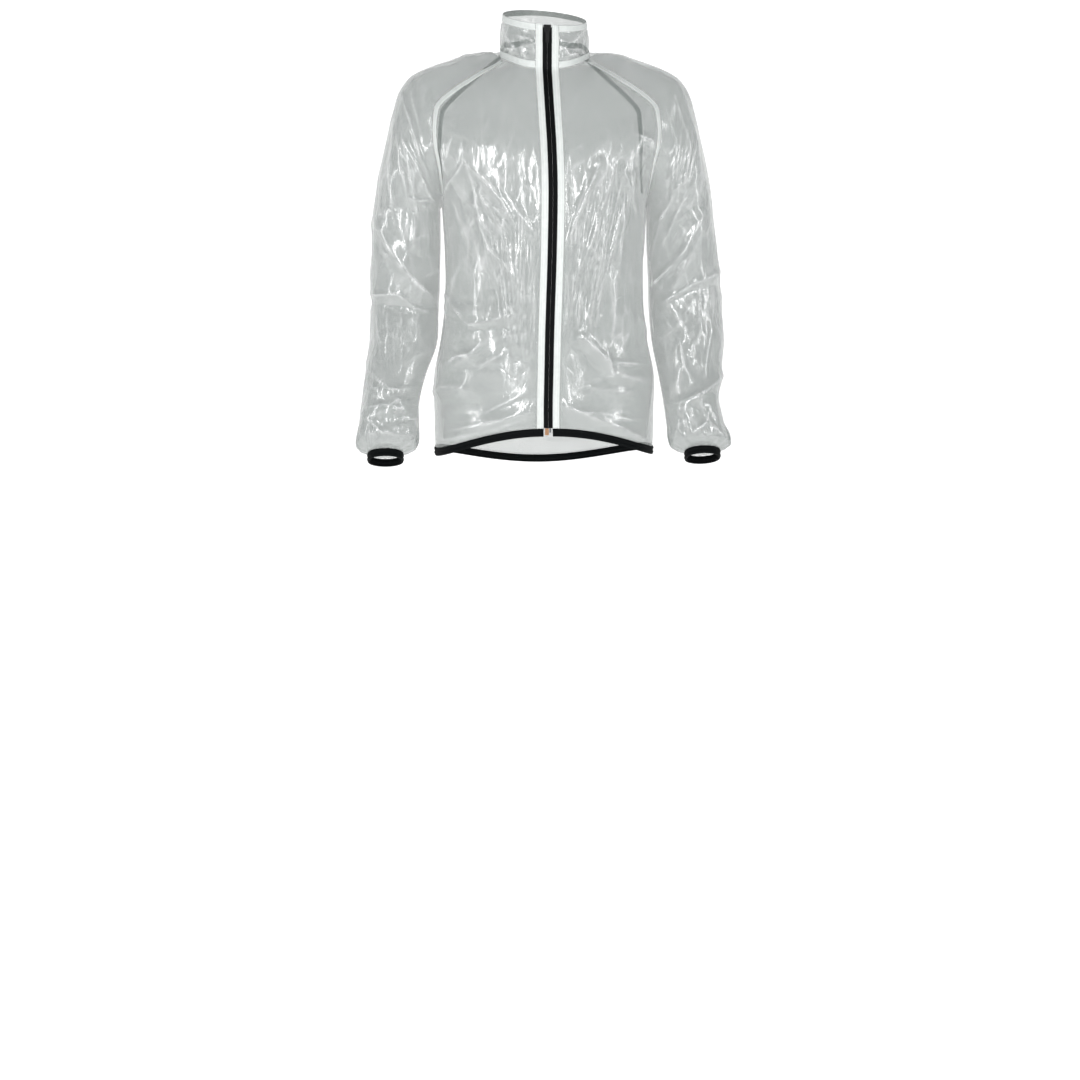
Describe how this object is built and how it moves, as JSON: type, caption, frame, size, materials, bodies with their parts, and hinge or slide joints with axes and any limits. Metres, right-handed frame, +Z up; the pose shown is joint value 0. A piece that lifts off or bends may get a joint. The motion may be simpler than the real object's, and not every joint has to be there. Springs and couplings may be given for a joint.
{
  "type": "clear cycling rain jacket",
  "caption": "Hollow worn-shape rain jacket of clear film with raglan sleeves, stand collar, full front zip and elastic hem and cuffs.",
  "frame": {"origin": "middle of the neck opening at the height where the wearer's shoulders carry the jacket", "axes": "+Z up, the front faces -Y, the wearer's left is +X"},
  "size_m": [0.5423, 0.2423, 0.668],
  "materials": {
    "film": "clear coated film, crinkled and glossy",
    "white_tape": "white seam tape with fine stitching",
    "black_tape": "woven, matt",
    "coil": "satin",
    "elastic": "ribbed elastic, matt",
    "black_metal": "painted, satin",
    "brass": "worn satin",
    "steel": "satin"
  },
  "bodies": {
    "jacket": {"front_right": "film", "front_left": "film", "back": "film", "sleeve_upper_right": "film", "sleeve_lower_right": "film", "sleeve_upper_left": "film", "sleeve_lower_left": "film", "collar": "film", "raglan_tape_front_right": "white_tape", "raglan_tape_front_left": "white_tape", "raglan_tape_back_right": "white_tape", "raglan_tape_back_left": "white_tape", "neck_tape": "white_tape", "collar_hem": "white_tape", "zip_band_right": "white_tape", "zip_band_left": "white_tape", "zip_tape_right": "black_tape", "zip_tape_left": "black_tape", "zip_coil": "coil", "hem_binding": "elastic", "cuff_binding_right": "elastic", "cuff_binding_left": "elastic", "zip_slider": "black_metal", "zip_box": "brass", "zip_pin": "steel"},
    "pull": {"zip_pull": "black_metal"}
  },
  "joints": [
    {"name": "zip_pull_hinge", "type": "hinge", "parent": "jacket", "child": "pull", "pos_m": [0, -0.07494, 0.0346], "axis": [-1, 0, 0], "range_deg": [0, 170]}
  ]
}
